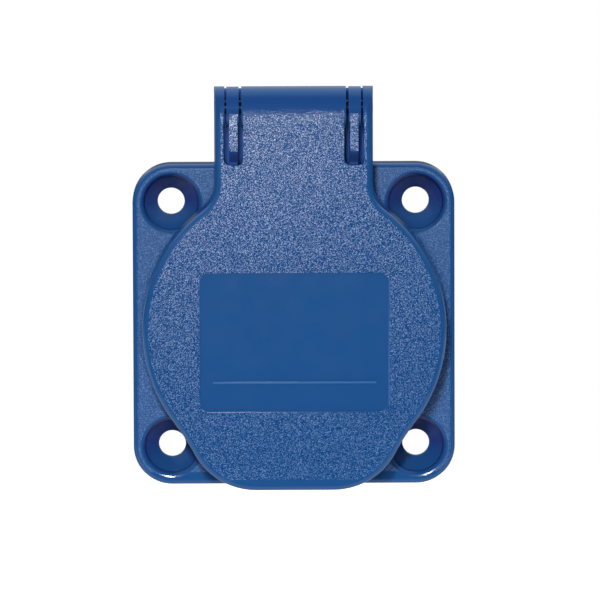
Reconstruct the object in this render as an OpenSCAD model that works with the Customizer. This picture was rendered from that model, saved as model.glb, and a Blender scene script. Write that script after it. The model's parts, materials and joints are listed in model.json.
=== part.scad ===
// Panel mount earthed socket outlet with a spring-closed hinged lid.
// Shapes are drawn face on: x to the right, y up, z out of the panel, z = 0 at the panel.
// upright() then stands them up, so that the finished part has z up and its front towards -y.

/* [Plug well] */
// Diameter of the plug well, round which the rest is built
well_d = 39; // [38.6:0.1:39.4]
// Depth of the plug well, from the collar's rim to its floor
well_depth = 17.5; // [17:0.25:19]
// Height of the collar above the flange
collar_h = 6.9; // [6.5:0.1:7.5]
// Thickness of the collar's wall
collar_t = 1.7; // [1.4:0.1:1.9]
// Thickness of the wall of the spigot that passes through the panel
spigot_t = 2; // [1.9:0.05:2.2]
// Length of the spigot behind the panel
spigot_len = 17; // [16:0.5:19]
// Width of the two guide ribs in the well
rib_w = 5; // [4:0.25:5.5]
// Height of the guide ribs above the well's wall
rib_h = 2.4; // [1.8:0.1:2.6]

/* [Flange] */
// How far the square flange reaches past the spigot at the middle of each side
flange_margin = 3.5; // [3.2:0.1:5]
// Thickness of the flange
flange_t = 5; // [4.6:0.1:6]
// Distance of the screw holes from the flange's sides
hole_edge = 6; // [5.6:0.1:6.4]
// Diameter of the screw holes
hole_d = 4.2; // [3.6:0.1:4.4]
// Diameter of the seat above the screw's cone
sink_d = 8.2; // [7.8:0.1:8.6]
// Depth of that seat below the flange's face
sink_depth = 1.6; // [1.2:0.1:1.8]
// Rounding of the flange's front edge
flange_edge_r = 0.8; // [0.5:0.1:1]

/* [Lid] */
// Gap between the collar and the lid's skirt
lid_gap = 1; // [0.8:0.05:1.2]
// Thickness of the lid's plate
lid_t = 2; // [1.8:0.1:2.2]
// Depth of the lid from its face to the skirt's edge
lid_depth = 4.5; // [4.2:0.1:4.8]
// Thickness of the skirt
skirt_t = 1.4; // [1.2:0.1:1.5]
// Rounding of the lid's front edge
lid_edge_r = 0.85; // [0.6:0.05:1]
// Draft of the skirt's outer wall, in degrees
lid_draft = 3; // [1:0.5:4]
// Reach of the lifting lip past the lid's round part
lip_out = 1.3; // [1:0.1:1.8]
// Radius of the lip's corners
lip_r = 11; // [10:0.5:12]
// Radius between the lip and the lid's round part
lip_fillet_r = 30; // [25:1:35]
// Length of the lip's straight edge
lip_flat = 12; // [10:0.5:14]
// Width of the label recess
label_w = 29.3; // [26:0.1:30]
// Height of the label recess
label_h = 21.6; // [18:0.1:22]
// Height of the recess's centre above the lid's centre
label_y = -1.7; // [-3:0.1:0]
// Depth of the label recess
label_depth = 0.3; // [0.2:0.05:0.5]

/* [Hinge] */
// Height of the hinge's axis above the lid's round part
hinge_rise = 10.9; // [10.6:0.1:12.1]
// Diameter of the lid's hinge barrel
barrel_d = 6.4; // [6.2:0.1:6.6]
// Diameter of the hinge pin
pin_d = 2; // [1.8:0.1:2.1]
// Width of the hinge neck
neck_w = 24.5; // [24.2:0.1:25.5]
// Radius between the neck and the lid's round part
neck_r = 5; // [4:0.5:6]
// Distance between the middles of the two arms
arm_pitch = 18.6; // [18.4:0.1:18.8]
// Thickness of each arm
arm_t = 1.3; // [1.2:0.1:1.5]
// Gap between an arm and the slot's sides
arm_gap = 0.9; // [0.8:0.05:0.95]
// Width of the round top of each arm
knuckle_w = 1.9; // [1.7:0.05:2]
// Gap between an arm's round top and the lid's barrel
knuckle_gap = 0.4; // [0.3:0.05:0.5]
// Length of the slots below the hinge's axis
slot_len = 8.8; // [8.4:0.1:9]
// Opening angle at which the lid's heels meet the web
stop_angle = 107; // [100:1:112]
// Diameter of the spring's wire
wire_d = 0.6; // [0.5:0.05:0.65]
// Number of full turns of the spring
spring_turns = 6; // [4:1:8]

/* [Contacts] */
// Distance between the two plug pins
pole_pitch = 19; // [19:0.1:19.2]
// Diameter of the pin holes in the well's floor
pole_hole_d = 5.3; // [5.2:0.1:5.8]
// Bore of the contact sleeves
sleeve_d = 4.84; // [4.82:0.01:4.9]
// Thickness of the well's floor
floor_t = 3.4; // [3:0.1:4]
// Depth of the terminals' rear face behind the panel
rear_depth = 32; // [32:0.5:36]
// Width of the terminal blocks
block_w = 8.2; // [8:0.1:8.4]
// Diameter of the wire holes
wire_hole_d = 3.5; // [3.2:0.1:3.6]
// Diameter of the terminal screws
screw_d = 3.5; // [3:0.1:3.6]
// Gap between the two earth clips, at their nearest
clip_gap = 30; // [29:0.25:31]
// Thickness of the earth strip
strip_t = 0.8; // [0.6:0.05:0.9]

/* [Hidden] */
$fn = 96;

blue = "#2f5f9f";
dark_grey = "#3a3d40";
black = "#202224";
brass = "#c8a850";
steel = "#b8bcc0";

// Levels along z
rim_z = flange_t + collar_h;
floor_z = rim_z - well_depth;
floor_back_z = floor_z - floor_t;
seal_t = 1.5;
seal_gap = 0.1;
lid_in_z = rim_z + seal_gap + seal_t;
face_z = lid_in_z + lid_t;
skirt_z = face_z - lid_depth;
rear_z = -rear_depth;

// Radii and widths, from the plug well outwards
well_r = well_d / 2;
collar_r = well_r + collar_t;
spigot_r = well_r + spigot_t;
flange_w = 2 * (spigot_r + flange_margin);
hole_pitch = flange_w - 2 * hole_edge;
seat_step = 0.5;
seat_r = well_r + seat_step;
carrier_gap = 0.1;
carrier_r = seat_r - carrier_gap;
gasket_w = 1.8;
gasket_gap = 0.1;
gasket_t = 1.6;
groove_in = spigot_r + 0.5;
groove_out = groove_in + gasket_w + 2 * gasket_gap;
lid_r = collar_r + lid_gap + skirt_t;
lip_reach = lid_r + lip_out;
hinge_y = lid_r + hinge_rise;
slot_y = hinge_y - slot_len;

// Hinge, seen from the side: the barrel lies a hair below the lid's face
barrel_r = barrel_d / 2;
barrel_step = 0.01;
hinge_z = face_z - barrel_r - barrel_step;
pin_r = pin_d / 2;
pin_fit = 0.02;
pin_run = 0.06;
slot_w = arm_t + 2 * arm_gap;
slot_h = slot_len + 2 * barrel_r;
slot_corner_r = 1;
slot_in = (arm_pitch - slot_w) / 2;
slot_out = (arm_pitch + slot_w) / 2;
neck_half = neck_w / 2;
knuckle_r = barrel_r - 0.05;
knuckle_x0 = (arm_pitch - knuckle_w) / 2 + 0.1;
knuckle_x1 = knuckle_x0 + knuckle_w;
barrel_half = knuckle_x0 - knuckle_gap;
ear_x = knuckle_x1 + knuckle_gap - 0.1;
heel_r = barrel_r + 1;
heel_t = 0.8;
heel_w = 2.2;

// The lid's outline: disc, lip corners and neck fillets, given by the angles of their shared normals
cavity_draft = 0.2;
rim_in = 3;
plate_inset = 1.9;
lip_x = lip_flat / 2;
lip_y = lip_r - lip_reach;
lip_c = [lip_x, lip_y];
bay_far = lid_r + lip_fillet_r;
bay_near = lip_r + lip_fillet_r;
bay_turn = acos((pow(bay_far, 2) + lip_c * lip_c - pow(bay_near, 2)) / (2 * bay_far * norm(lip_c)));
disc_normal = atan2(lip_y, lip_x) + bay_turn;
bay_c = bay_far * [cos(disc_normal), sin(disc_normal)];
lip_normal = atan2(bay_c[1] - lip_y, bay_c[0] - lip_x);
fillet_x = neck_half + neck_r;
fillet_y = sqrt(pow(lid_r + neck_r, 2) - pow(fillet_x, 2));
fillet_normal = atan2(fillet_y, fillet_x);

// Points of an arc about c, from angle a0 to a1
function arc(c, r, a0, a1, steps) =
    [for (i = [0:steps]) let (a = a0 + (a1 - a0) * i / steps) c + r * [cos(a), sin(a)]];

// Corner points of a rectangle with rounded corners
function round_rect(w, h, r, steps = 6) = concat(
    arc([w / 2 - r, h / 2 - r], r, 0, 90, steps),
    arc([r - w / 2, h / 2 - r], r, 90, 180, steps),
    arc([r - w / 2, r - h / 2], r, 180, 270, steps),
    arc([w / 2 - r, r - h / 2], r, 270, 360, steps)
);

// Both sides of a strip of thickness t that follows a line of points
function side_dir(pts, i) =
    let (a = pts[max(i - 1, 0)], b = pts[min(i + 1, len(pts) - 1)], d = (b - a) / norm(b - a)) [-d[1], d[0]];
function strip(pts, t) = concat(
    [for (i = [0:len(pts) - 1]) pts[i] + side_dir(pts, i) * t / 2],
    [for (i = [len(pts) - 1:-1:0]) pts[i] - side_dir(pts, i) * t / 2]
);

// Stands the face-on drawing up: y becomes up, z points to the front
module upright() {
    rotate([90, 0, 0]) children();
}

// Extrudes a drawing of the side view (y, z) from x0 to x1
module across(x0, x1) {
    translate([x0, 0, 0]) rotate([90, 0, 90]) linear_extrude(x1 - x0) children();
}

// Extrudes a drawing centred on the hinge axis from x0 to x1
module turned_across(x0, x1) {
    across(x0, x1) translate([hinge_y, hinge_z]) children();
}

// Extrudes a drawing of the front view from z0 to z1
module forward(z0, z1) {
    translate([0, 0, z0]) linear_extrude(z1 - z0) children();
}

// Rim profile along a straight edge that has the inside on its left
module rim_line(p0, p1) {
    along = p1 - p0;
    length = norm(along);
    translate(p0)
        rotate(atan2(along[1], along[0]) - 90)
            translate([0, length, 0]) rotate([90, 0, 0]) linear_extrude(length) children();
}

// Rim profile round a corner that bulges outwards
module rim_arc(c, r, a0, a1) {
    translate(c) rotate(a0) rotate_extrude(angle = a1 - a0) translate([r, 0]) children();
}

// Rim profile round a corner that bends inwards
module rim_hollow_arc(c, r, a0, a1) {
    translate(c) rotate(a0) rotate_extrude(angle = a1 - a0) translate([r, 0]) mirror([1, 0]) children();
}

module both_sides() {
    children();
    mirror([1, 0, 0]) children();
}

// Flange

flange_half = flange_w / 2;
flange_corner_r = flange_half - hole_pitch / 2;
flange_rim_in = flange_corner_r * 0.5;
flange_inset = flange_corner_r * 0.42;

module flange_rim_profile() {
    polygon(concat(
        [[-flange_rim_in, 0], [0, 0]],
        arc([-flange_edge_r, flange_t - flange_edge_r], flange_edge_r, 0, 90, 6),
        [[-flange_rim_in, flange_t]]
    ));
}

module flange_plate() {
    a = hole_pitch / 2;
    for (turn = [0:90:270])
        rotate(turn) {
            rim_line([flange_half, -a], [flange_half, a]) flange_rim_profile();
            rim_arc([a, a], flange_corner_r, 0, 90) flange_rim_profile();
        }
    forward(0, flange_t) square(flange_w - 2 * flange_inset, center = true);
}

// Screw hole: bore, cone for the screw's head, seat and rounded lip
sink_lip = 0.7;
module screw_hole_cut() {
    r = hole_d / 2;
    seat = sink_d / 2;
    seat_z = flange_t - sink_depth;
    cone_z = seat_z - (seat - r);
    rotate_extrude()
        polygon(concat(
            [[0, -1], [r, -1], [r, cone_z], [seat, seat_z]],
            arc([seat + 0.1 + sink_lip, flange_t - sink_lip], sink_lip, 180, 90, 5),
            [[seat + 0.1 + sink_lip, flange_t + 1], [0, flange_t + 1]]
        ));
}

// Collar, well wall and spigot in one turned shape, with a seat for the carrier behind the floor
spigot_chamfer = 0.8;
module well_tube() {
    rotate_extrude()
        polygon(concat(
            [[well_r, floor_z], [well_r, rim_z - 0.5], [well_r + 0.4, rim_z]],
            arc([collar_r - 0.4, rim_z - 0.4], 0.4, 90, 0, 4),
            [
                [collar_r, flange_t / 2],
                [spigot_r, flange_t / 2],
                [spigot_r, spigot_chamfer - spigot_len],
                [spigot_r - spigot_chamfer, -spigot_len],
                [seat_r, -spigot_len],
                [seat_r, floor_z]
            ]
        ));
}

// Hinge arms and the web that ties them together and stops the lid
arm_face_z = hinge_z + knuckle_r - 0.1;
web_front_z = lid_in_z - 1.1;
web_t = 0.9;
web_back_z = web_front_z - web_t;
web_top = hinge_y - barrel_r - 0.35;
web_pad_t = 0.4;
web_foot_y0 = collar_r + 1.7;
arm_foot_y = sqrt(pow(well_r + collar_t / 2, 2) - pow(arm_pitch / 2, 2));
web_foot_y1 = flange_half - 0.1;

module arm_side() {
    foot_z = flange_t - 0.5;
    polygon([
        [arm_foot_y, foot_z],
        [arm_foot_y, rim_z - 2],
        [slot_y - 2.4, rim_z - 0.3],
        [slot_y + 0.3, lid_in_z - 0.9],
        [slot_y + 2.2, arm_face_z],
        [hinge_y, arm_face_z],
        [hinge_y + knuckle_r * 0.5, hinge_z],
        [hinge_y + knuckle_r * 0.5, hinge_z - knuckle_r * 0.75],
        [flange_half - 0.4, foot_z]
    ]);
}

// Back of the hinge bracket, seen dark through the lid's slots
bracket_half = slot_out + 0.7;
bracket_front_z = hinge_z - heel_r - 0.5;
bracket_top = hinge_y + 2.3;

module web_side(back_z) {
    foot_z = flange_t - 0.5;
    polygon([
        [web_foot_y0, foot_z],
        [web_foot_y0, web_front_z],
        [web_top, web_front_z],
        [web_top, back_z],
        [web_foot_y1, back_z],
        [web_foot_y1, foot_z]
    ]);
}

// Windows in the spigot for the carrier's two snaps
snap_w = 5;
snap_z = -12.4;
snap_h = 2;
module snap_windows() {
    for (s = [0, 180])
        rotate(s)
            translate([well_r, -snap_w / 2 - 0.3, snap_z - snap_h / 2 - 0.3])
                cube([spigot_r, snap_w + 0.6, snap_h + 0.6]);
}

module flange_housing() {
    color(blue) upright() difference() {
        union() {
            difference() {
                flange_plate();
                translate([0, 0, -1]) cylinder(r = well_r + collar_t / 2, h = flange_t + 2);
            }
            well_tube();
            for (s = [0, 180])
                rotate(s)
                    translate([well_r - rib_h, -rib_w / 2, floor_z])
                        cube([rib_h + seat_step, rib_w, well_depth - 1.5]);
            both_sides()
                across((arm_pitch - arm_t) / 2, (arm_pitch + arm_t) / 2) arm_side();
            both_sides()
                turned_across(knuckle_x0, knuckle_x1) circle(r = knuckle_r);
            across(0.1 - slot_in, slot_in - 0.1) web_side(web_back_z);
            across(-leg_x - 1, leg_x + 1) web_side(web_back_z - web_pad_t);
            forward(flange_t - 0.6, bracket_front_z)
                translate([0, (web_foot_y0 + bracket_top) / 2])
                    polygon(round_rect(2 * bracket_half, bracket_top - web_foot_y0, 1));
        }
        for (x = [-1, 1], y = [-1, 1])
            translate([x, y] * hole_pitch / 2) screw_hole_cut();
        turned_across(-neck_w, neck_w) circle(r = pin_r + pin_fit);
        rotate_extrude()
            translate([groove_in, -1])
                square([groove_out - groove_in, gasket_t + 1]);
        snap_windows();
    }
}

module flange_gasket() {
    color(black) upright()
        rotate_extrude()
            translate([groove_in + gasket_gap, 0])
                square([gasket_w, gasket_t - gasket_gap]);
}

// Contact carrier

tower_wall = 1.5;
chamber_gap = 0.2;
chamber_w = block_w + 2 * chamber_gap;
tower_w = chamber_w + 2 * tower_wall;
pole_x = pole_pitch / 2;
tower_land = 0.6;
earth_y = tower_w / 2 - sqrt(pow(carrier_r - tower_land, 2) - pow(tower_w / 2, 2));
strip_w = 5.8;
strip_gap = 0.2;
bend_room = 0.3;
clip_y = well_r - 2.1;
block_len = 6.6;
block_z = rear_z + block_len;
screw_z = rear_z + 2.9;
head_r = screw_d / 2 + 0.75;
window_r = head_r + 0.3;

// The three terminals: left, right and earth. Each screw points outwards from the middle.
module at_left() { translate([-pole_x, 0, 0]) rotate(180) children(); }
module at_right() { translate([pole_x, 0, 0]) children(); }
module at_earth() { translate([0, earth_y, 0]) rotate(-90) children(); }

module tower() {
    forward(rear_z, floor_back_z + 0.5) polygon(round_rect(tower_w, tower_w, 1.2));
}

module tower_cut() {
    forward(rear_z - 1, floor_back_z) polygon(round_rect(chamber_w, chamber_w, 0.5));
    translate([0, 0, screw_z]) rotate([0, 90, 0]) cylinder(r = window_r, h = tower_w);
}

snap_t = 1.1;
snap_nose = 1;
module carrier_snap() {
    x0 = carrier_r - snap_t - 0.25;
    rotate([90, 0, 0])
        translate([0, 0, -snap_w / 2])
            linear_extrude(snap_w)
                polygon([
                    [x0, floor_back_z + 0.5],
                    [x0, snap_z - snap_h / 2 - 1.2],
                    [x0 + snap_t - 0.3, snap_z - snap_h / 2 - 1.2],
                    [x0 + snap_t + 0.05, snap_z - snap_h / 2],
                    [x0 + snap_t + snap_nose, snap_z + snap_h / 2 - 0.3],
                    [x0 + snap_t + snap_nose, snap_z + snap_h / 2],
                    [x0 + snap_t, snap_z + snap_h / 2],
                    [x0 + snap_t, floor_back_z + 0.5]
                ]);
}

pole_lead = 0.9;
module pole_hole_cut() {
    r = pole_hole_d / 2;
    rotate_extrude()
        polygon([
            [0, floor_back_z - 1],
            [r, floor_back_z - 1],
            [r, floor_z - pole_lead],
            [r + pole_lead, floor_z],
            [r + pole_lead, floor_z + 1],
            [0, floor_z + 1]
        ]);
}

module contact_carrier() {
    slot_t = strip_t + 2 * strip_gap;
    color(dark_grey) upright() difference() {
        union() {
            translate([0, 0, floor_back_z]) cylinder(r = carrier_r, h = floor_t);
            at_left() tower();
            at_right() tower();
            at_earth() tower();
            for (s = [0, 180]) rotate(s) carrier_snap();
        }
        at_left() tower_cut();
        at_right() tower_cut();
        at_earth() tower_cut();
        for (x = [-pole_x, pole_x]) translate([x, 0, 0]) pole_hole_cut();
        for (s = [0, 180])
            rotate(s)
                translate([-strip_w / 2 - strip_gap, clip_y - slot_t / 2 - bend_room, floor_back_z - 1])
                    cube([strip_w + 2 * strip_gap, slot_t + bend_room, floor_t + 2]);
        translate([-strip_w / 2 - strip_gap, -carrier_r, floor_back_z - strip_t - strip_gap])
            cube([strip_w + 2 * strip_gap, 2 * carrier_r, strip_t + strip_gap]);
    }
}

// Earth bracket: a strip across the carrier's back, a clip at each end and a foot under the terminal

strip_z = floor_back_z - strip_t / 2;
module earth_bracket() {
    bulge_y = clip_gap / 2 + strip_t / 2;
    clip_top = rim_z - 1.6;
    clip = concat(
        [[-strip_t, strip_z]],
        arc([clip_y - 0.8, strip_z + 0.8], 0.8, 270, 360, 4),
        [[clip_y, floor_z + 1.5]],
        arc([bulge_y + 2, clip_top - 4], 2, 200, 150, 5),
        [[clip_y - 0.2, clip_top]]
    );
    foot_z = block_z + strip_t / 2 + 0.05;
    tongue_y = earth_y + chamber_w / 2 - strip_t / 2 - 0.1;
    foot = concat(
        [[tongue_y, strip_z]],
        arc([tongue_y - 0.8, foot_z + 0.8], 0.8, 0, -90, 4),
        [[earth_y - block_w / 2 + 0.4, foot_z]]
    );
    half = strip_w / 2;
    color(brass) upright() {
        across(-half, half) polygon(strip(clip, strip_t));
        mirror([0, 1, 0]) across(-half, half) polygon(strip(clip, strip_t));
        across(-half, half) polygon(strip(foot, strip_t));
    }
}

// Terminal block with a wire hole from behind and a threaded hole for its screw

guard_t = 0.5;
guard_x = wire_hole_d / 2 - guard_t - 0.35;
module terminal_block() {
    difference() {
        forward(rear_z, block_z) square(block_w, center = true);
        translate([0, 0, rear_z - 1]) cylinder(d = wire_hole_d, h = block_len - 0.2);
        translate([0, 0, screw_z]) rotate([0, 90, 0]) cylinder(d = screw_d + 0.04, h = block_w);
    }
}

// Slotted cheese head screw along x, from the wire guard outwards
module terminal_screw() {
    tip_x = guard_x + guard_t + 0.03;
    head_x = block_w / 2 + 0.1;
    head_h = 1.9;
    translate([0, 0, screw_z]) difference() {
        rotate([0, 90, 0])
            rotate_extrude()
                polygon([
                    [0, tip_x],
                    [screw_d / 2 - 0.4, tip_x],
                    [screw_d / 2, tip_x + 0.4],
                    [screw_d / 2, head_x],
                    [head_r, head_x],
                    [head_r, head_x + head_h - 0.3],
                    [head_r - 0.3, head_x + head_h],
                    [0, head_x + head_h]
                ]);
        translate([head_x + head_h - 1, -head_r - 1, -0.4]) cube([2, 2 * head_r + 2, 0.8]);
    }
}

module wire_guard() {
    half = sqrt(pow(wire_hole_d / 2, 2) - pow(guard_x + guard_t, 2)) - 0.1;
    translate([guard_x, -half, rear_z + 0.4]) cube([guard_t, 2 * half, block_len - 2]);
}

// Contact sleeve with four fingers, a flared mouth and a foot on the terminal block

sleeve_t = 0.6;
sleeve_top = floor_back_z - 0.5;
foot_t = 0.8;
foot_top = block_z + foot_t + 0.05;
module contact() {
    r = sleeve_d / 2;
    difference() {
        union() {
            rotate_extrude()
                polygon([
                    [r, foot_top - 0.4],
                    [r, sleeve_top - 0.8],
                    [r + 0.35, sleeve_top],
                    [r + 0.35 + sleeve_t, sleeve_top],
                    [r + sleeve_t, sleeve_top - 0.8],
                    [r + sleeve_t, foot_top - 0.4]
                ]);
            forward(block_z + 0.05, foot_top) square(block_w - 0.6, center = true);
        }
        for (turn = [45, 135])
            rotate(turn)
                translate([-r - 3, -0.3, foot_top + 4]) cube([2 * r + 6, 0.6, sleeve_top - foot_top]);
    }
}

// Open steel ring that presses the sleeve's fingers together
module contact_spring() {
    r = sleeve_d / 2 + sleeve_t + 0.05;
    ring_t = 0.35;
    ring_h = 3;
    translate([0, 0, sleeve_top - 2 - ring_h])
        rotate(20)
            rotate_extrude(angle = 320)
                translate([r, 0]) square([ring_t, ring_h]);
}

module earth_terminal() { color(brass) upright() at_earth() terminal_block(); }
module earth_terminal_screw() { color(steel) upright() at_earth() terminal_screw(); }
module earth_wire_guard() { color(steel) upright() at_earth() wire_guard(); }
module left_contact() { color(brass) upright() at_left() contact(); }
module left_contact_spring() { color(steel) upright() at_left() contact_spring(); }
module left_terminal() { color(brass) upright() at_left() terminal_block(); }
module left_terminal_screw() { color(steel) upright() at_left() terminal_screw(); }
module left_wire_guard() { color(steel) upright() at_left() wire_guard(); }
module right_contact() { color(brass) upright() at_right() contact(); }
module right_contact_spring() { color(steel) upright() at_right() contact_spring(); }
module right_terminal() { color(brass) upright() at_right() terminal_block(); }
module right_terminal_screw() { color(steel) upright() at_right() terminal_screw(); }
module right_wire_guard() { color(steel) upright() at_right() wire_guard(); }

// Lid

// How far the drafted wall has moved in at height z
function wall_in(z) = (z - skirt_z) * tan(lid_draft);

// Section through the lid's edge: drafted wall and rounding
function lid_edge(z0) =
    let (top_n = -wall_in(face_z - lid_edge_r))
    concat(
        [[-wall_in(z0), z0]],
        arc([top_n - lid_edge_r, face_z - lid_edge_r], lid_edge_r, 0, 90, 6)
    );

// The rim is swept a little too deep and then trimmed level
trim = 1;
module lid_rim_profile() {
    slope = cavity_draft / (lid_in_z - skirt_z);
    polygon(concat(
        [
            [-rim_in, lid_in_z],
            [-skirt_t - cavity_draft, lid_in_z],
            [trim * slope - skirt_t, skirt_z - trim]
        ],
        lid_edge(skirt_z - trim),
        [[-rim_in, face_z]]
    ));
}

// Outline of the plate's inner part, moved in from the lid's edge; its own edges lie inside the rim
// and its corners lie a few degrees away from the joints between the rim's pieces
plate_skip = 4;
function plate_side(s) = concat(
    arc(lip_c, lip_r - s, plate_skip - 90, lip_normal - plate_skip, 6),
    arc([0, 0], lid_r - s, disc_normal + plate_skip, fillet_normal - plate_skip, 12),
    arc([fillet_x, fillet_y], neck_r + s, fillet_normal + 180 - plate_skip, 180 + plate_skip, 5),
    [[neck_half - s, hinge_y + 0.2]]
);
function mirrored(pts) = [for (i = [len(pts) - 1:-1:0]) [-pts[i][0], pts[i][1]]];

module lid_shell() {
    side = plate_side(plate_inset);
    difference() {
        union() {
            forward(lid_in_z, face_z) polygon(concat(side, mirrored(side)));
            rim_line([-lip_x, -lip_reach], [lip_x, -lip_reach]) lid_rim_profile();
            both_sides() {
                rim_arc(lip_c, lip_r, -90, lip_normal) lid_rim_profile();
                rim_hollow_arc(bay_c, lip_fillet_r, disc_normal + 180, lip_normal + 180) lid_rim_profile();
                rim_arc([0, 0], lid_r, disc_normal, fillet_normal) lid_rim_profile();
                rim_hollow_arc([fillet_x, fillet_y], neck_r, 180, 180 + fillet_normal) lid_rim_profile();
                rim_line([neck_half, fillet_y], [neck_half, hinge_y]) lid_rim_profile();
            }
        }
        forward(skirt_z - 2 * trim, skirt_z) square(4 * hinge_y, center = true);
    }
}

// Ear: the neck's edge carried on upwards and rounded about the hinge axis
module ear() {
    low_z = hinge_z - barrel_r - 1;
    depth = skirt_t + arm_gap;
    intersection() {
        rim_line([neck_half, hinge_y - 2 * barrel_r], [neck_half, hinge_y + 2 * barrel_r])
            polygon(concat([[-depth, low_z], [0, low_z]], lid_edge(skirt_z), [[-depth, face_z]]));
        turned_across(0, neck_w) circle(r = barrel_r);
    }
}

// Heels on the barrel's ends, which meet the web when the lid is fully open
web_drop = hinge_z - web_back_z;
web_reach = hinge_y - web_top;
heel_meet = atan2(web_reach, web_drop) - asin(heel_t / 2 / norm([web_reach, web_drop]));
heel_rest = stop_angle - heel_meet;
barrel_end = 2.6;

module heel() {
    translate([slot_in - heel_w - 0.2, hinge_y, hinge_z])
        rotate([heel_rest, 0, 0])
            translate([0, -heel_t / 2, -heel_r])
                cube([heel_w, heel_t, heel_r]);
}

// Spring chamber in the barrel, open towards the panel so that both spring legs have room
coil_r = 1.6;
chamber_r = coil_r + wire_d / 2 + 0.5;
chamber_half = slot_in - barrel_end;
function back_ray(a) = 2 * barrel_r * [sin(a), -cos(a)];
module spring_window(x0, x1, up_angle) {
    across(x0, x1)
        translate([hinge_y, hinge_z])
            polygon([[0, 0], back_ray(up_angle), back_ray(up_angle / 2), back_ray(-40), back_ray(-78)]);
}

// Plain dividing line across the lower part of the label recess
divider_len = label_w * 0.86;
divider_y = label_y - label_h * 0.288;
divider_w = 0.28;
divider_low = 0.08;

module lid() {
    color(blue) upright() difference() {
        union() {
            difference() {
                union() {
                    lid_shell();
                    both_sides() ear();
                }
                both_sides()
                    forward(skirt_z - 10, face_z + 10)
                        translate([arm_pitch / 2, slot_y + slot_h / 2])
                            polygon(round_rect(slot_w, slot_h, slot_corner_r));
            }
            turned_across(-barrel_half, barrel_half) circle(r = barrel_r);
            both_sides() turned_across(ear_x, slot_out + 0.3) circle(r = barrel_r);
            both_sides() heel();
            rotate_extrude()
                translate([well_r - 1.3, lid_in_z - 1])
                    square([0.8, 1.3]);
        }
        turned_across(-neck_w, neck_w) circle(r = pin_r + pin_run);
        turned_across(-chamber_half, chamber_half) circle(r = chamber_r);
        spring_window(-chamber_half, leg_x - 1.2, 72);
        spring_window(leg_x - 1.2, chamber_half, 34);
        difference() {
            forward(face_z - label_depth, face_z + 1)
                translate([0, label_y]) polygon(round_rect(label_w, label_h, 1.6));
            translate([-divider_len / 2, divider_y - divider_w / 2, face_z - 2 * label_depth])
                cube([divider_len, divider_w, 2 * label_depth - divider_low]);
        }
    }
}

module lid_seal() {
    seal_r0 = well_r - 0.4;
    seal_r1 = lid_r - skirt_t - 0.4;
    color(black) upright()
        rotate_extrude()
            polygon([
                [seal_r0, rim_z + seal_gap + 0.3],
                [seal_r0 + 0.3, rim_z + seal_gap],
                [seal_r1 - 0.3, rim_z + seal_gap],
                [seal_r1, rim_z + seal_gap + 0.3],
                [seal_r1, lid_in_z - 0.02],
                [seal_r0, lid_in_z - 0.02]
            ]);
}

pin_half = neck_half - 0.4;
module hinge_pin() {
    color(steel) upright()
        translate([0, hinge_y, hinge_z])
            rotate([0, 90, 0])
                rotate_extrude()
                    polygon([
                        [0, -pin_half],
                        [pin_r - 0.2, -pin_half],
                        [pin_r, 0.2 - pin_half],
                        [pin_r, pin_half - 0.2],
                        [pin_r - 0.2, pin_half],
                        [0, pin_half]
                    ]);
}

// Torsion spring: one leg behind the web, the coil round the pin, one leg against the lid's window
leg_x = 3.6;
leg_steps = 16;
fixed_leg = 5;
lid_leg = 3.4;
coil_start = 270;
coil_end = 233 + 360 * spring_turns;
coil_steps = leg_steps * spring_turns;
function coil_ray(a) = [0, cos(a), sin(a)];
function coil_way(a) = [0, -sin(a), cos(a)];
function coil_place(i) =
    let (f = i / coil_steps, a = coil_start + (coil_end - coil_start) * f)
    [[(2 * f - 1) * leg_x, 0, 0] + coil_r * coil_ray(a), coil_ray(a)];
spring_path = concat(
    [[coil_place(0)[0] - fixed_leg * coil_way(coil_start), coil_ray(coil_start)]],
    [for (i = [0:coil_steps]) coil_place(i)],
    [[coil_place(coil_steps)[0] + lid_leg * coil_way(coil_end), coil_ray(coil_end)]]
);

module lid_spring() {
    sides = 8;
    rings = len(spring_path);
    points = [
        for (p = spring_path, k = [0:sides - 1])
            let (a = 360 * k / sides)
            p[0] + wire_d / 2 * (cos(a) * p[1] + sin(a) * [1, 0, 0])
    ];
    quads = [
        for (i = [0:rings - 2], k = [0:sides - 1])
            let (m = (k + 1) % sides)
            [i * sides + k, i * sides + m, (i + 1) * sides + m, (i + 1) * sides + k]
    ];
    walls = [for (q = quads, half = [0, 1]) half == 0 ? [q[0], q[1], q[2]] : [q[0], q[2], q[3]]];
    first = [for (k = [sides - 1:-1:0]) k];
    last = [for (k = [0:sides - 1]) (rings - 1) * sides + k];
    color(steel) upright()
        translate([0, hinge_y, hinge_z])
            polyhedron(points, concat(walls, [first, last]));
}

flange_housing();
flange_gasket();
contact_carrier();
earth_bracket();
earth_terminal();
earth_terminal_screw();
earth_wire_guard();
left_contact();
left_contact_spring();
left_terminal();
left_terminal_screw();
left_wire_guard();
right_contact();
right_contact_spring();
right_terminal();
right_terminal_screw();
right_wire_guard();
lid();
lid_seal();
hinge_pin();
lid_spring();
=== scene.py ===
import json
import math

import bpy
from mathutils import Matrix, Vector


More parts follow.
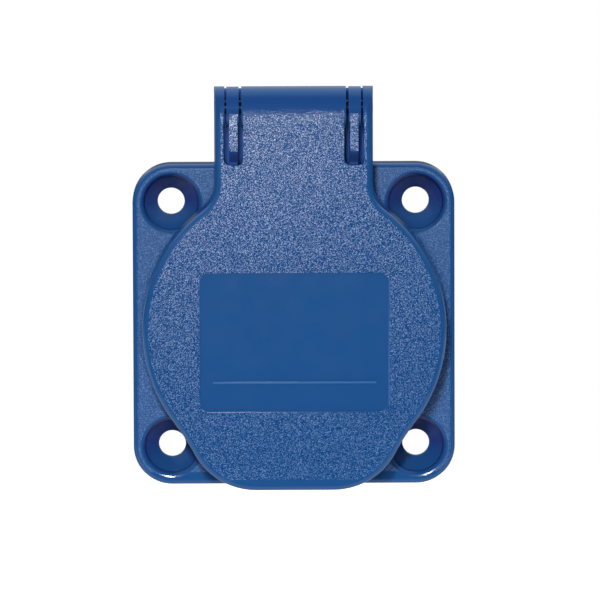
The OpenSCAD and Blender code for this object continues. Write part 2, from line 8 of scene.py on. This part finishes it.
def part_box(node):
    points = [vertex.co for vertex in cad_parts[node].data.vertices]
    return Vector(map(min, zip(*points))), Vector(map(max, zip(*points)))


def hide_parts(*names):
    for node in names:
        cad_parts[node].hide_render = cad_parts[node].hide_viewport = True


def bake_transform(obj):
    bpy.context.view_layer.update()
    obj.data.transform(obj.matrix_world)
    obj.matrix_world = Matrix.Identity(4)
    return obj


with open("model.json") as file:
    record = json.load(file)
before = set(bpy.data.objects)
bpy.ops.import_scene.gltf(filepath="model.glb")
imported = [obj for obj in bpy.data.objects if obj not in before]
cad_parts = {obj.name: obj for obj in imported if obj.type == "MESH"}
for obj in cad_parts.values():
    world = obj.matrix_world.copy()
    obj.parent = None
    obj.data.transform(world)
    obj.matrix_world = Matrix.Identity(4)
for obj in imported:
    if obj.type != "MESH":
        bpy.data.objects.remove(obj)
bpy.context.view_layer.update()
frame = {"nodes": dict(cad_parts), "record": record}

nodes = frame["nodes"]
MM = 0.001
RISE, FALL = (0.0, 1.0), (1.0, 0.0)

# Node tree helpers


class Tree:
    """The node tree of a material or world, with short ways to add and join nodes."""

    def __init__(self, owner):
        owner.use_nodes = True
        self.owner = owner
        self.nodes = owner.node_tree.nodes
        self.links = owner.node_tree.links
        self.nodes.clear()
        self.coords = self.add("ShaderNodeTexCoord")

    def add(self, kind, **props):
        node = self.nodes.new(kind)
        for key, value in props.items():
            setattr(node, key, value)
        return node

    def put(self, socket, value):
        if isinstance(value, bpy.types.NodeSocket):
            self.links.new(value, socket)
        else:
            socket.default_value = value

    def math(self, op, a, b=0.0, c=0.0):
        node = self.add("ShaderNodeMath", operation=op)
        for socket, value in zip(node.inputs, (a, b, c)):
            self.put(socket, value)
        return node.outputs[0]

    def times(self, first, *others):
        for other in others:
            first = self.math("MULTIPLY", first, other)
        return first

    def most(self, a, b):
        return self.math("MAXIMUM", a, b)

    def ramp(self, value, span, out=RISE, unit=1.0, kind="SMOOTHSTEP"):
        """Goes from out[0] to out[1] while value goes from span[0] to span[1], in the given unit."""
        node = self.add("ShaderNodeMapRange", interpolation_type=kind)
        for socket, v in zip(node.inputs, (value, span[0] * unit, span[1] * unit, *out)):
            self.put(socket, v)
        return node.outputs[0]

    def split(self, vector):
        node = self.add("ShaderNodeSeparateXYZ")
        self.put(node.inputs[0], vector)
        return node.outputs

    def noise(self, scale, detail=2.0, roughness=0.5, vector=None):
        node = self.add("ShaderNodeTexNoise")
        self.put(node.inputs["Vector"], vector or self.coords.outputs["Object"])
        node.inputs["Scale"].default_value = scale
        node.inputs["Detail"].default_value = detail
        node.inputs["Roughness"].default_value = roughness
        return node.outputs["Fac"]

    def cells(self, size, vector):
        """Distance to the nearest of scattered points, in cell sizes, and a random value of each cell."""
        node = self.add("ShaderNodeTexVoronoi", voronoi_dimensions="2D")
        self.put(node.inputs["Vector"], vector)
        node.inputs["Scale"].default_value = 1.0 / size
        parts = self.add("ShaderNodeSeparateColor")
        self.put(parts.inputs[0], node.outputs["Color"])
        return node.outputs["Distance"], parts.outputs[0]

    def stretched(self, x, y, z):
        node = self.add("ShaderNodeMapping")
        self.put(node.inputs["Vector"], self.coords.outputs["Object"])
        node.inputs["Scale"].default_value = (x, y, z)
        return node.outputs["Vector"]

    def mix(self, factor, a, b):
        node = self.add("ShaderNodeMix", data_type="RGBA")
        self.put(node.inputs[0], factor)
        self.put(node.inputs[6], a)
        self.put(node.inputs[7], b)
        return node.outputs[2]

    def bump(self, height, distance, strength=1.0, normal=None):
        node = self.add("ShaderNodeBump")
        self.put(node.inputs["Height"], height)
        self.put(node.inputs["Strength"], strength)
        node.inputs["Distance"].default_value = distance
        if normal is not None:
            self.put(node.inputs["Normal"], normal)
        return node.outputs["Normal"]

    def finish(self, **inputs):
        shader = self.add("ShaderNodeBsdfPrincipled")
        for key, value in inputs.items():
            self.put(shader.inputs[key.replace("_", " ")], value)
        out = self.add("ShaderNodeOutputMaterial")
        self.put(out.inputs["Surface"], shader.outputs[0])
        return self.owner


def material_tree(name):
    return Tree(bpy.data.materials.new(name))


def rgb(r, g, b):
    return (r, g, b, 1.0)


# Blue moulded plastic: spark-eroded grain on the flat faces, smooth on edges and recesses.
# Places are in millimetres: heights and widths as seen from the front, levels as the y of a face.

LID_FACE, ARM_FACE, FLANGE_FACE = -15.5, -15.34, -5.0
LABEL_EDGE, LABEL_FLOOR = (-15.42, -15.24), (-15.22, -15.18)
HINGE_DEPTH, SEAT_DEPTH = (-12.5, -6.4), (-4.9, -1.0)
LID_MATT_FROM = (0.0, 12.0)
GRAIN_TOP = (31.8, 33.5)
GRAIN_RAGGED = 1.2
GRAIN_BOTTOM = (-23.2, -22.9)
FACE_SKIN = 0.03
THIN_EDGE, EDGE = 0.02, 0.04
SPARK_SIZE, DUST_SIZE = 0.12, 0.13
SPARK_HEIGHT, DUST_HEIGHT, SWIRL_HEIGHT = 0.005, 0.02, 0.002
BARREL_FROM = (32.6, 33.2)
SLOT_LOW = (25.2, 25.6)
SLOT_INNER, SLOT_OUTER = (7.4, 7.6), (10.95, 11.15)
ARM_END = (28.4, 28.8)
SCREW_AT = 19.0
SEAT_RIM = (4.6, 4.9)
SEAT_REACH = (4.9, 5.0)
LABEL_REACH = (19.8, 20.3)
LABEL_RIGHT = (14.42, 14.50)
LABEL_RISE = (-8.0, 6.0)

# Parts of a normal along an axis of the frame, over which a finish sets in
FACE_FRONT = (0.985, 0.9985)
BARREL_FRONT = (0.965, 0.985)
BARREL_BELLY = (0.72, 0.86)
SIDE_FACING = (0.6, 0.8)
UNDER_FACING = (-0.5, -0.1)
SEAT_FACING = (-0.3, 0.65)
# Painted shade in the screw seats is darkest on walls that face down
SEAT_SHADE_FACING = (-0.75, -0.2)

BLUE = (rgb(0.0125, 0.080, 0.256), rgb(0.0145, 0.089, 0.278))
# Painted shade: a darker blue on the front of the hinge's barrel, standing in for shade
BARREL_SHADE_BLUE = rgb(0.0130, 0.067, 0.240)
# Painted light: a paler violet blue for the shaded walls of the hinge's slots
SLOT_LIT_BLUE = rgb(0.030, 0.092, 0.345)
# Grain colour: a darker frosted tone with pale dots, which are partly painted glints
FROSTED_AND_GLINTS = (rgb(0.0045, 0.058, 0.205), rgb(0.050, 0.280, 0.740))
# Painted highlight: a pale blue on the label recess's edges, its line and its right side
LABEL_HIGHLIGHT_BLUE = rgb(0.045, 0.150, 0.390)
# Painted shade for the screw seats, darkest on their upper walls
SEAT_SHADE = (rgb(0.008, 0.021, 0.110), rgb(0.019, 0.042, 0.200))
POWDER = (rgb(0.010, 0.076, 0.255), rgb(0.210, 0.380, 0.680))

# Shares and strengths; a spot's reach is in cell sizes, and its rarity is a power
SPOT_REACH, SPOT_RARITY = (0.2, 0.7), 3.0
CLOUD_SCALE, SWIRL_SCALE, SWIRL_STRENGTH = 60.0, 420.0, 0.5
NOISE_MIDDLE = (0.3, 0.7)
# The first pair fades the label's painted highlight upward; the second weakens the seats' painted shade
# on walls that face up
LABEL_HIGHLIGHT_FADE, SEAT_SHADE_SHARE = (1.0, 0.3), (1.0, 0.1)
LID_SPARKLE, ARM_SPARKLE = 5.0, 5.6
GLOSS_ROUGH = (0.11, 0.15)
SATIN_ROUGH, FINE_ROUGH = 0.175, 0.305
PLAIN_SHINE, MATT_SHINE = 0.5, 0.02
PLASTIC_IOR = 1.5


def blue_plastic(name, coarse_level, sparkle, fine_level=None, dull=None, deep=None, highlit_edges=None,
                 highlit_floor=None, matt_from=None):
    """Grain lies on faces turned to the front, at the levels given for it.

    Coarse grain has scattered bright points, made of bumps that shine and of pale colour dots that are
    partly painted glints, and fine grain is matt. Both fade out over GRAIN_TOP, where the brightest
    points reach highest, and GRAIN_BOTTOM. Pairs of levels bound other finishes: dull as it came from the
    mould, deep for the screw seats, which are painted with shade, darkest on their upper walls, and two
    pairs for a painted highlight, pale on the edges of the label recess and its line and along the
    recess's right side. Side walls are matt, or become so over the heights matt_from. The hinge's barrel
    is painted darker, as painted shade, and its slots a paler violet blue, as painted light in their
    shade.
    """
    t = material_tree(name)
    across, depth, height = t.split(t.coords.outputs["Object"])
    facing_x, facing_y, facing_z = t.split(t.coords.outputs["Normal"])
    front = t.math("MULTIPLY", facing_y, -1.0)
    from_middle = t.math("ABSOLUTE", across)
    flat = t.add("ShaderNodeCombineXYZ")
    t.put(flat.inputs[0], across)
    t.put(flat.inputs[1], height)

    def between(low, high, edge=EDGE):
        above = t.ramp(depth, (low - edge, low), RISE, MM)
        return t.times(above, t.ramp(depth, (high, high + edge), FALL, MM))

    def face_at(level):
        skin = between(level - FACE_SKIN, level + FACE_SKIN, THIN_EDGE)
        return t.times(face, skin, t.ramp(height, GRAIN_BOTTOM, RISE, MM))

    def points(size):
        """Round spots, of which some are strong and most are faint, and the chance that decides it."""
        reach, chance = t.cells(size * MM, flat.outputs[0])
        return t.times(t.ramp(reach, SPOT_REACH, FALL), t.math("POWER", chance, SPOT_RARITY)), chance

    def length(a, b):
        return t.math("SQRT", t.math("ADD", t.times(a, a), t.times(b, b)))

    def off_screw(value):
        return t.math("SUBTRACT", t.math("ABSOLUTE", value), SCREW_AT * MM)

    def from_screw():
        return length(off_screw(across), off_screw(height))

    sparks, chance = points(SPARK_SIZE)
    ragged = t.math("MULTIPLY_ADD", chance, -GRAIN_RAGGED * MM, height)
    face = t.times(t.ramp(front, FACE_FRONT), t.ramp(ragged, GRAIN_TOP, FALL, MM))
    coarse = face_at(coarse_level)
    barrel = t.ramp(height, BARREL_FROM, RISE, MM)
    inner = t.ramp(t.math("ABSOLUTE", facing_x), SIDE_FACING)
    if matt_from:
        inner = t.times(inner, t.ramp(height, matt_from, RISE, MM))
    if dull:
        inner = t.most(inner, between(*dull))
    matt = t.most(t.times(t.ramp(front, BARREL_FRONT), barrel), inner)
    matt = t.times(matt, t.math("SUBTRACT", 1.0, coarse))
    under = t.times(t.ramp(facing_z, UNDER_FACING, FALL), t.ramp(height, ARM_END, FALL, MM))
    # Painted light: the shaded side walls and undersides in the hinge's slots get a paler violet blue
    slot = t.times(
        t.most(inner, under), t.ramp(height, SLOT_LOW, RISE, MM),
        t.ramp(from_middle, SLOT_INNER, RISE, MM), t.ramp(from_middle, SLOT_OUTER, FALL, MM),
    )
    cloud = t.noise(CLOUD_SCALE, detail=3.0, roughness=0.55)
    swirl = t.noise(SWIRL_SCALE)

    colour = t.mix(cloud, *BLUE)
    # Painted shade: darken the front of the hinge's barrel
    colour = t.mix(t.times(barrel, t.ramp(front, BARREL_BELLY)), colour, BARREL_SHADE_BLUE)
    # Painted light in the slots
    colour = t.mix(slot, colour, SLOT_LIT_BLUE)
    # Coarse grain colour, its pale dots partly painted glints
    colour = t.mix(coarse, colour, t.mix(sparks, *FROSTED_AND_GLINTS))
    # Painted highlight: the edges of the label recess and its line, and the recess's right side, are
    # painted pale
    if highlit_edges:
        near = t.ramp(length(across, height), LABEL_REACH, FALL, MM)
        painted_highlight = t.times(between(*highlit_edges, THIN_EDGE), near)
        side = t.times(t.ramp(across, LABEL_RIGHT, RISE, MM), t.ramp(height, LABEL_RISE, LABEL_HIGHLIGHT_FADE, MM))
        painted_highlight = t.most(painted_highlight, t.times(between(*highlit_floor, THIN_EDGE), side))
        colour = t.mix(painted_highlight, colour, LABEL_HIGHLIGHT_BLUE)
        matt = t.most(matt, painted_highlight)
    satin = t.most(coarse, matt)
    # Painted shade: the screw seats are darkened, most on walls that face down
    if deep:
        seat = t.times(between(*deep), t.ramp(from_screw(), SEAT_REACH, FALL, MM))
        seat = t.times(seat, t.ramp(facing_z, SEAT_FACING, SEAT_SHADE_SHARE))
        colour = t.mix(seat, colour, t.mix(t.ramp(facing_z, SEAT_SHADE_FACING), *SEAT_SHADE))
        satin = t.most(satin, seat)
    rough = t.ramp(swirl, NOISE_MIDDLE, GLOSS_ROUGH)
    rough = t.math("MULTIPLY_ADD", satin, SATIN_ROUGH, rough)
    shine = t.math("MULTIPLY_ADD", sparks, sparkle, -PLAIN_SHINE)
    shine = t.math("MULTIPLY_ADD", coarse, shine, PLAIN_SHINE)
    shine = t.math("MULTIPLY_ADD", matt, MATT_SHINE - PLAIN_SHINE, shine)
    normal = t.bump(sparks, SPARK_HEIGHT * MM, coarse)
    if fine_level is not None:
        fine = t.times(face_at(fine_level), t.ramp(from_screw(), SEAT_RIM, RISE, MM))
        dust, _ = points(DUST_SIZE)
        colour = t.mix(fine, colour, t.mix(dust, *POWDER))
        rough = t.math("MULTIPLY_ADD", fine, FINE_ROUGH, rough)
        normal = t.bump(dust, DUST_HEIGHT * MM, fine, normal)
    normal = t.bump(swirl, SWIRL_HEIGHT * MM, SWIRL_STRENGTH, normal)
    return t.finish(
        Base_Color=colour, Roughness=rough, Specular_IOR_Level=shine, Normal=normal, IOR=PLASTIC_IOR
    )


# Other materials

MOULD_CLOUD_SCALE, MOULD_STRENGTH = 80.0, 0.6
STAIN_SCALE, SCRATCH_SCALE = 160.0, 900.0
SCRATCH_SPAN, SCRATCH_HEIGHT, SCRATCH_STRENGTH = (0.25, 0.75), 0.008, 0.5
ALONG_X, ALONG_Y = (0.2, 1.0, 1.0), (1.0, 0.2, 1.0)
RUBBER_IOR = 1.48


def moulded(name, dark, light, rough, grain, ior):
    """Dull moulding with a fine texture; grain is its scale and height."""
    t = material_tree(name)
    scale, height = grain
    fine = t.noise(scale, detail=3.0, roughness=0.6)
    cloud = t.noise(MOULD_CLOUD_SCALE, detail=3.0, roughness=0.6)
    colour = t.mix(cloud, rgb(*dark), rgb(*light))
    rough = t.ramp(fine, NOISE_MIDDLE, rough)
    normal = t.bump(fine, height * MM, MOULD_STRENGTH)
    return t.finish(Base_Color=colour, Roughness=rough, Normal=normal, IOR=ior)


def metal(name, dark, light, rough, lines):
    """Drawn or stamped metal; lines stretches its fine scratches."""
    t = material_tree(name)
    drawn = t.noise(SCRATCH_SCALE, detail=3.0, roughness=0.6, vector=t.stretched(*lines))
    stain = t.noise(STAIN_SCALE, detail=4.0, roughness=0.6)
    colour = t.mix(stain, rgb(*dark), rgb(*light))
    rough = t.ramp(drawn, SCRATCH_SPAN, rough)
    normal = t.bump(drawn, SCRATCH_HEIGHT * MM, SCRATCH_STRENGTH)
    return t.finish(Base_Color=colour, Roughness=rough, Metallic=1.0, Normal=normal)


# The lid's label recess has a painted highlight on its edges and right side
lid_plastic = blue_plastic(
    "blue_plastic_lid", coarse_level=LID_FACE, sparkle=LID_SPARKLE,
    highlit_edges=LABEL_EDGE, highlit_floor=LABEL_FLOOR, matt_from=LID_MATT_FROM,
)
# The body's screw seats are painted with shade
body_plastic = blue_plastic(
    "blue_plastic_body", coarse_level=ARM_FACE, sparkle=ARM_SPARKLE, fine_level=FLANGE_FACE,
    dull=HINGE_DEPTH, deep=SEAT_DEPTH,
)
black_rubber = moulded(
    "moulded_rubber", dark=(0.014, 0.0145, 0.0155), light=(0.026, 0.0265, 0.027),
    rough=(0.62, 0.8), grain=(2600.0, 0.03), ior=RUBBER_IOR,
)
grey_carrier = moulded(
    "insulating_plastic", dark=(0.043, 0.046, 0.050), light=(0.060, 0.063, 0.067),
    rough=(0.42, 0.58), grain=(2200.0, 0.02), ior=PLASTIC_IOR,
)
brass = metal("stamped_brass", (0.50, 0.33, 0.105), (0.64, 0.45, 0.17), (0.2, 0.36), ALONG_Y)
steel = metal("plated_steel", (0.42, 0.435, 0.45), (0.54, 0.555, 0.57), (0.22, 0.4), ALONG_X)
dark_steel = metal("blued_steel", (0.020, 0.034, 0.072), (0.036, 0.054, 0.104), (0.3, 0.45), ALONG_X)

by_node = {"lid": lid_plastic, "flange_housing": body_plastic, "hinge_pin": dark_steel}
by_slot = {"rubber": black_rubber, "carrier_plastic": grey_carrier, "brass": brass, "steel": steel}
for part in frame["record"]["subparts"]:
    piece = nodes[part["node"]]
    if not piece.material_slots:
        piece.data.materials.append(None)
    for slot in piece.material_slots:
        slot.material = by_node.get(part["node"]) or by_slot[part["material_slot"]]

# Torsion spring: a smooth-shaded copy of the CAD wire, shown in place of the hidden CAD node

WIRE_D = 0.6 * MM
spring = bpy.data.objects.new("torsion_spring", nodes["lid_spring"].data.copy())
bpy.context.scene.collection.objects.link(spring)
spring.data.shade_smooth()
low, high = (Vector(corner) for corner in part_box("lid_spring"))
housing_leg, lid_leg = (low + high) / 2, (low + high) / 2
housing_leg.x = low.x + WIRE_D
lid_leg.x = high.x - WIRE_D
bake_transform(spring)
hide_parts("lid_spring")

# Stage: a pale floor below the object

FLOOR_HALF, FLOOR_FRONT, FLOOR_REAR, FLOOR_Z = 3.0, -0.12, 0.4, -0.075
FLOOR_SEEN, FLOOR_REFLECTED = 0.8, 0.1
FLOOR_COLOUR = rgb(0.85, 0.85, 0.85)


def floor_material():
    """Pale diffuse surface that also glows for rays from the camera, and a little for rays that come off
    shiny or see-through surfaces."""
    t = material_tree("stage_floor")
    path = t.add("ShaderNodeLightPath").outputs
    mirrored = t.most(path["Is Glossy Ray"], path["Is Transmission Ray"])
    glow = t.math("MULTIPLY", mirrored, FLOOR_REFLECTED)
    glow = t.math("MULTIPLY_ADD", path["Is Camera Ray"], FLOOR_SEEN, glow)
    diffuse = t.add("ShaderNodeBsdfDiffuse")
    diffuse.inputs["Color"].default_value = FLOOR_COLOUR
    emission = t.add("ShaderNodeEmission")
    t.put(emission.inputs["Strength"], glow)
    both = t.add("ShaderNodeAddShader")
    t.put(both.inputs[0], diffuse.outputs[0])
    t.put(both.inputs[1], emission.outputs[0])
    out = t.add("ShaderNodeOutputMaterial")
    t.put(out.inputs["Surface"], both.outputs[0])
    return t.owner


corners = [
    (-FLOOR_HALF, FLOOR_FRONT, FLOOR_Z), (FLOOR_HALF, FLOOR_FRONT, FLOOR_Z),
    (FLOOR_HALF, FLOOR_REAR, FLOOR_Z), (-FLOOR_HALF, FLOOR_REAR, FLOOR_Z),
]
floor_mesh = bpy.data.meshes.new("stage_floor")
floor_mesh.from_pydata(corners, [], [(0, 1, 2, 3)])
floor_mesh.materials.append(floor_material())
floor = bpy.data.objects.new("stage_floor", floor_mesh)
bpy.context.scene.collection.objects.link(floor)

# World: a white tent behind and above the object, a dim room on the camera's side. The camera sees it
# white all round, and shiny surfaces see a backdrop low behind the object.

TENT_REARWARD, TENT_STRENGTH = (-0.62, 0.36), (0.04, 1.2)
TENT_UPWARD, TENT_SHARE = (0.1, 0.6), (0.1, 1.0)
BACKDROP_REARWARD, BACKDROP_STRENGTH = (0.85, 0.98), (0.0, 0.6)
BACKDROP_TOP = (0.0, 0.06)
ROOM_COLOUR, WHITE = rgb(0.82, 0.91, 1.0), rgb(1.0, 1.0, 1.0)

world = bpy.data.worlds.new("studio")
bpy.context.scene.world = world
w = Tree(world)
_, rearward, upward = w.split(w.coords.outputs["Generated"])
rays = w.add("ShaderNodeLightPath").outputs
tent = w.times(
    w.ramp(rearward, TENT_REARWARD, TENT_STRENGTH, kind="LINEAR"),
    w.ramp(upward, TENT_UPWARD, TENT_SHARE, kind="LINEAR"),
)
backdrop = w.times(
    w.ramp(rearward, BACKDROP_REARWARD, BACKDROP_STRENGTH, kind="LINEAR"),
    w.ramp(upward, BACKDROP_TOP, FALL, kind="LINEAR"),
    w.most(rays["Is Glossy Ray"], rays["Is Transmission Ray"]),
)
room = w.add("ShaderNodeBackground")
room.inputs["Color"].default_value = ROOM_COLOUR
w.put(room.inputs["Strength"], w.most(tent, backdrop))
white = w.add("ShaderNodeBackground")
white.inputs["Color"].default_value = WHITE
choice = w.add("ShaderNodeMixShader")
w.put(choice.inputs[0], rays["Is Camera Ray"])
w.put(choice.inputs[1], room.outputs[0])
w.put(choice.inputs[2], white.outputs[0])
world_out = w.add("ShaderNodeOutputWorld")
w.put(world_out.inputs["Surface"], choice.outputs[0])

# Lights: a key that gives the shadows, a weak fill and a small near lamp that shows up in the grain

KEY_ENERGY, FILL_ENERGY, SHEEN_ENERGY = 5.5, 1.7, 0.15
AIM = Vector((0, -0.01, 0.005))


def area_light(name, left, up, distance, size, energy):
    """Round lamp aimed at the object, at angles to the left of and above the panel's normal."""
    light = bpy.data.lights.new(name, "AREA")
    light.shape = "DISK"
    light.size = size
    light.energy = energy
    lamp = bpy.data.objects.new(name, light)
    towards = Vector((-math.tan(math.radians(left)), -1.0, math.tan(math.radians(up)))).normalized()
    lamp.location = AIM + towards * distance
    lamp.rotation_mode = "QUATERNION"
    lamp.rotation_quaternion = (-towards).to_track_quat("-Z", "Y")
    bpy.context.scene.collection.objects.link(lamp)
    return lamp


key = area_light("key", left=4.5, up=17.4, distance=1.0, size=0.08, energy=KEY_ENERGY)
key.visible_glossy = False
fill = area_light("fill", left=4.0, up=4.0, distance=1.2, size=0.5, energy=FILL_ENERGY)
fill.visible_glossy = False
area_light("sheen", left=2.2, up=5.7, distance=0.3, size=0.025, energy=SHEEN_ENERGY)

# Camera at the photograph's angle

ELEVATION, AZIMUTH, ROLL = (math.radians(v) for v in (6.0, -0.5, 0.2))
DISTANCE = 1.2
IMAGE_PX, PX_PER_MM = 600, 6.42
FLANGE_PX = (293.8, 322.65)
SENSOR_MM = 36.0
CLIP_NEAR, CLIP_FAR = 0.01, 50.0
PX = MM / PX_PER_MM

back = Vector((
    math.sin(AZIMUTH) * math.cos(ELEVATION),
    -math.cos(AZIMUTH) * math.cos(ELEVATION),
    math.sin(ELEVATION),
))
right = Vector((0, 0, 1)).cross(back).normalized()
up = back.cross(right)
right, up = (
    right * math.cos(ROLL) - up * math.sin(ROLL),
    up * math.cos(ROLL) + right * math.sin(ROLL),
)
flange_middle = Vector((0, FLANGE_FACE / 2 * MM, 0))
target = flange_middle + right * ((IMAGE_PX / 2 - FLANGE_PX[0]) * PX)
target += up * ((FLANGE_PX[1] - IMAGE_PX / 2) * PX)
turn = Matrix((right, up, back)).transposed().to_4x4()
camera = bpy.data.objects.new("camera", bpy.data.cameras.new("camera"))
camera.data.sensor_width = SENSOR_MM
camera.data.lens = SENSOR_MM * DISTANCE / (IMAGE_PX * PX)
camera.data.clip_start = CLIP_NEAR
camera.data.clip_end = CLIP_FAR
camera.matrix_world = Matrix.Translation(target + back * DISTANCE) @ turn
bpy.context.scene.collection.objects.link(camera)
bpy.context.scene.camera = camera
bpy.context.scene.view_settings.view_transform = "Standard"
